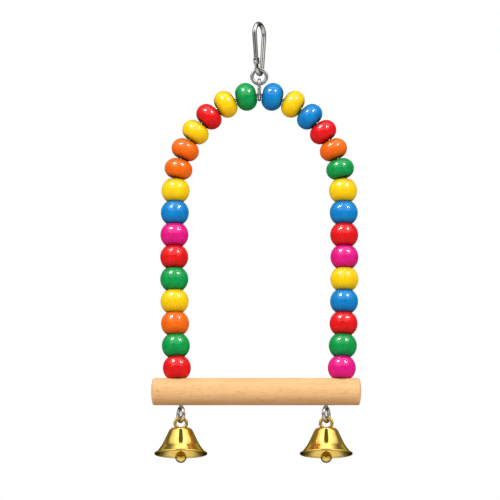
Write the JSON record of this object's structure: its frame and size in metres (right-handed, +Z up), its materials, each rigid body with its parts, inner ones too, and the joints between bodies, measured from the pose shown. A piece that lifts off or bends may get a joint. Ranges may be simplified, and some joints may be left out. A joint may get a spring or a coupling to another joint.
{
  "type": "bird swing",
  "caption": "Hanging bird swing: wooden perch on an arch of stiff wire threaded with coloured wooden beads, snap clip above, small brass bells below.",
  "frame": {"origin": "where the cage bar bears on the inside of the snap clip's top bend", "axes": "+Z up along the hanging swing, +X along the perch to the right in the picture, -Y towards the picture's viewer"},
  "size_m": [0.1, 0.0252, 0.213],
  "materials": {
    "nickel": "bright nickel plate over steel wire",
    "beech": "bare sanded",
    "brass": "polished",
    "bead_magenta": "dyed and lacquered gloss",
    "bead_red": "dyed and lacquered gloss",
    "bead_orange": "dyed and lacquered gloss",
    "bead_yellow": "dyed and lacquered gloss",
    "bead_green": "dyed and lacquered gloss",
    "bead_blue": "dyed and lacquered gloss"
  },
  "bodies": {
    "clip": {"clip_body": "nickel", "clip_rivet": "nickel"},
    "gate": {"clip_gate": "nickel"},
    "ring": {"hanging_ring": "nickel"},
    "link": {"top_link": "nickel"},
    "swing": {"arch_wire": "nickel", "perch": "beech", "screw_eye_left": "nickel", "screw_eye_right": "nickel"},
    "bell_left": {"bell_left": "brass", "yoke_left": "brass"},
    "clapper_left": {"clapper_stem_left": "brass", "clapper_ball_left": "brass"},
    "bell_right": {"bell_right": "brass", "yoke_right": "brass"},
    "clapper_right": {"clapper_stem_right": "brass", "clapper_ball_right": "brass"},
    "bead_left_01": {"bead_left_01": "bead_green"},
    "bead_left_02": {"bead_left_02": "bead_yellow"},
    "bead_left_03": {"bead_left_03": "bead_red"},
    "bead_left_04": {"bead_left_04": "bead_yellow"},
    "bead_left_05": {"bead_left_05": "bead_orange"},
    "bead_left_06": {"bead_left_06": "bead_orange"},
    "bead_left_07": {"bead_left_07": "bead_yellow"},
    "bead_left_08": {"bead_left_08": "bead_blue"},
    "bead_left_09": {"bead_left_09": "bead_magenta"},
    "bead_left_10": {"bead_left_10": "bead_red"},
    "bead_left_11": {"bead_left_11": "bead_green"},
    "bead_left_12": {"bead_left_12": "bead_yellow"},
    "bead_left_13": {"bead_left_13": "bead_orange"},
    "bead_left_14": {"bead_left_14": "bead_green"},
    "bead_left_15": {"bead_left_15": "bead_red"},
    "bead_right_01": {"bead_right_01": "bead_blue"},
    "bead_right_02": {"bead_right_02": "bead_yellow"},
    "bead_right_03": {"bead_right_03": "bead_blue"},
    "bead_right_04": {"bead_right_04": "bead_red"},
    "bead_right_05": {"bead_right_05": "bead_orange"},
    "bead_right_06": {"bead_right_06": "bead_green"},
    "bead_right_07": {"bead_right_07": "bead_yellow"},
    "bead_right_08": {"bead_right_08": "bead_blue"},
    "bead_right_09": {"bead_right_09": "bead_red"},
    "bead_right_10": {"bead_right_10": "bead_magenta"},
    "bead_right_11": {"bead_right_11": "bead_yellow"},
    "bead_right_12": {"bead_right_12": "bead_blue"},
    "bead_right_13": {"bead_right_13": "bead_red"},
    "bead_right_14": {"bead_right_14": "bead_green"},
    "bead_right_15": {"bead_right_15": "bead_magenta"}
  },
  "joints": [
    {"name": "gate_hinge", "type": "hinge", "parent": "clip", "child": "gate", "pos_m": [-0.00138, -0.00283, -0.01778], "axis": [-0.8988, 0.4384, 0], "range_deg": [0, 20], "stiffness_Nm_per_rad": 0.004, "springref_deg": -20.05},
    {"name": "ring_swing", "type": "hinge", "parent": "clip", "child": "ring", "pos_m": [0, 0, -0.02095], "axis": [1, 0, 0], "range_deg": [-25, 25]},
    {"name": "link_swing", "type": "hinge", "parent": "ring", "child": "link", "pos_m": [0, 0, -0.0261], "axis": [0, 1, 0], "range_deg": [-25, 25]},
    {"name": "arch_swing", "type": "hinge", "parent": "link", "child": "swing", "pos_m": [0, 0, -0.0336], "axis": [1, 0, 0], "range_deg": [-60, 60]},
    {"name": "bell_left_swing", "type": "hinge", "parent": "swing", "child": "bell_left", "pos_m": [-0.0373, 0, -0.18907], "axis": [1, 0, 0], "range_deg": [-60, 60]},
    {"name": "clapper_left_swing", "type": "hinge", "parent": "bell_left", "child": "clapper_left", "pos_m": [-0.0373, 0, -0.19945], "axis": [1, 0, 0], "range_deg": [-46, 46]},
    {"name": "bell_right_swing", "type": "hinge", "parent": "swing", "child": "bell_right", "pos_m": [0.0318, 0, -0.18907], "axis": [1, 0, 0], "range_deg": [-60, 60]},
    {"name": "clapper_right_swing", "type": "hinge", "parent": "bell_right", "child": "clapper_right", "pos_m": [0.0318, 0, -0.19945], "axis": [1, 0, 0], "range_deg": [-46, 46]},
    {"name": "bead_left_01_spin", "type": "hinge", "parent": "swing", "child": "bead_left_01", "pos_m": [-0.00626, 0, -0.0342], "axis": [-0.9818, 0, -0.1898], "continuous": true},
    {"name": "bead_left_02_spin", "type": "hinge", "parent": "swing", "child": "bead_left_02", "pos_m": [-0.01604, 0, -0.03776], "axis": [-0.874, 0, -0.4859], "continuous": true},
    {"name": "bead_left_03_spin", "type": "hinge", "parent": "swing", "child": "bead_left_03", "pos_m": [-0.02401, 0, -0.04383], "axis": [-0.7203, 0, -0.6937], "continuous": true},
    {"name": "bead_left_04_spin", "type": "hinge", "parent": "swing", "child": "bead_left_04", "pos_m": [-0.03042, 0, -0.05129], "axis": [-0.5767, 0, -0.817], "continuous": true},
    {"name": "bead_left_05_spin", "type": "hinge", "parent": "swing", "child": "bead_left_05", "pos_m": [-0.03531, 0, -0.05984], "axis": [-0.4124, 0, -0.911], "continuous": true},
    {"name": "bead_left_06_spin", "type": "hinge", "parent": "swing", "child": "bead_left_06", "pos_m": [-0.0385, 0, -0.06915], "axis": [-0.2333, 0, -0.9724], "continuous": true},
    {"name": "bead_left_07_spin", "type": "hinge", "parent": "swing", "child": "bead_left_07", "pos_m": [-0.03991, 0, -0.07958], "axis": [-0.0348, 0, -0.9994], "continuous": true},
    {"name": "bead_left_08_spin", "type": "hinge", "parent": "swing", "child": "bead_left_08", "pos_m": [-0.04023, 0, -0.09026], "axis": [-0.0241, 0, -0.9997], "continuous": true},
    {"name": "bead_left_09_spin", "type": "hinge", "parent": "swing", "child": "bead_left_09", "pos_m": [-0.04043, 0, -0.10095], "axis": [-0.0134, 0, -0.9999], "continuous": true},
    {"name": "bead_left_10_spin", "type": "hinge", "parent": "swing", "child": "bead_left_10", "pos_m": [-0.04051, 0, -0.11164], "axis": [-0.0027, 0, -1], "continuous": true},
    {"name": "bead_left_11_spin", "type": "hinge", "parent": "swing", "child": "bead_left_11", "pos_m": [-0.04049, 0, -0.12234], "axis": [0.008, 0, -1], "continuous": true},
    {"name": "bead_left_12_spin", "type": "hinge", "parent": "swing", "child": "bead_left_12", "pos_m": [-0.04034, 0, -0.13303], "axis": [0.0187, 0, -0.9998], "continuous": true},
    {"name": "bead_left_13_spin", "type": "hinge", "parent": "swing", "child": "bead_left_13", "pos_m": [-0.04009, 0, -0.14372], "axis": [0.0293, 0, -0.9996], "continuous": true},
    {"name": "bead_left_14_spin", "type": "hinge", "parent": "swing", "child": "bead_left_14", "pos_m": [-0.03972, 0, -0.1544], "axis": [0.04, 0, -0.9992], "continuous": true},
    {"name": "bead_left_15_spin", "type": "hinge", "parent": "swing", "child": "bead_left_15", "pos_m": [-0.03923, 0, -0.16508], "axis": [0.0507, 0, -0.9987], "continuous": true},
    {"name": "bead_right_01_spin", "type": "hinge", "parent": "swing", "child": "bead_right_01", "pos_m": [0.00626, 0, -0.0342], "axis": [0.9818, 0, -0.1898], "continuous": true},
    {"name": "bead_right_02_spin", "type": "hinge", "parent": "swing", "child": "bead_right_02", "pos_m": [0.01604, 0, -0.03776], "axis": [0.874, 0, -0.4859], "continuous": true},
    {"name": "bead_right_03_spin", "type": "hinge", "parent": "swing", "child": "bead_right_03", "pos_m": [0.02401, 0, -0.04383], "axis": [0.7203, 0, -0.6937], "continuous": true},
    {"name": "bead_right_04_spin", "type": "hinge", "parent": "swing", "child": "bead_right_04", "pos_m": [0.03042, 0, -0.05129], "axis": [0.5767, 0, -0.817], "continuous": true},
    {"name": "bead_right_05_spin", "type": "hinge", "parent": "swing", "child": "bead_right_05", "pos_m": [0.03531, 0, -0.05984], "axis": [0.4124, 0, -0.911], "continuous": true},
    {"name": "bead_right_06_spin", "type": "hinge", "parent": "swing", "child": "bead_right_06", "pos_m": [0.0385, 0, -0.06915], "axis": [0.2333, 0, -0.9724], "continuous": true},
    {"name": "bead_right_07_spin", "type": "hinge", "parent": "swing", "child": "bead_right_07", "pos_m": [0.03991, 0, -0.07958], "axis": [0.0348, 0, -0.9994], "continuous": true},
    {"name": "bead_right_08_spin", "type": "hinge", "parent": "swing", "child": "bead_right_08", "pos_m": [0.04023, 0, -0.09026], "axis": [0.0241, 0, -0.9997], "continuous": true},
    {"name": "bead_right_09_spin", "type": "hinge", "parent": "swing", "child": "bead_right_09", "pos_m": [0.04043, 0, -0.10095], "axis": [0.0134, 0, -0.9999], "continuous": true},
    {"name": "bead_right_10_spin", "type": "hinge", "parent": "swing", "child": "bead_right_10", "pos_m": [0.04051, 0, -0.11164], "axis": [0.0027, 0, -1], "continuous": true},
    {"name": "bead_right_11_spin", "type": "hinge", "parent": "swing", "child": "bead_right_11", "pos_m": [0.04049, 0, -0.12234], "axis": [-0.008, 0, -1], "continuous": true},
    {"name": "bead_right_12_spin", "type": "hinge", "parent": "swing", "child": "bead_right_12", "pos_m": [0.04034, 0, -0.13303], "axis": [-0.0187, 0, -0.9998], "continuous": true},
    {"name": "bead_right_13_spin", "type": "hinge", "parent": "swing", "child": "bead_right_13", "pos_m": [0.04009, 0, -0.14372], "axis": [-0.0293, 0, -0.9996], "continuous": true},
    {"name": "bead_right_14_spin", "type": "hinge", "parent": "swing", "child": "bead_right_14", "pos_m": [0.03972, 0, -0.1544], "axis": [-0.04, 0, -0.9992], "continuous": true},
    {"name": "bead_right_15_spin", "type": "hinge", "parent": "swing", "child": "bead_right_15", "pos_m": [0.03923, 0, -0.16508], "axis": [-0.0507, 0, -0.9987], "continuous": true}
  ]
}
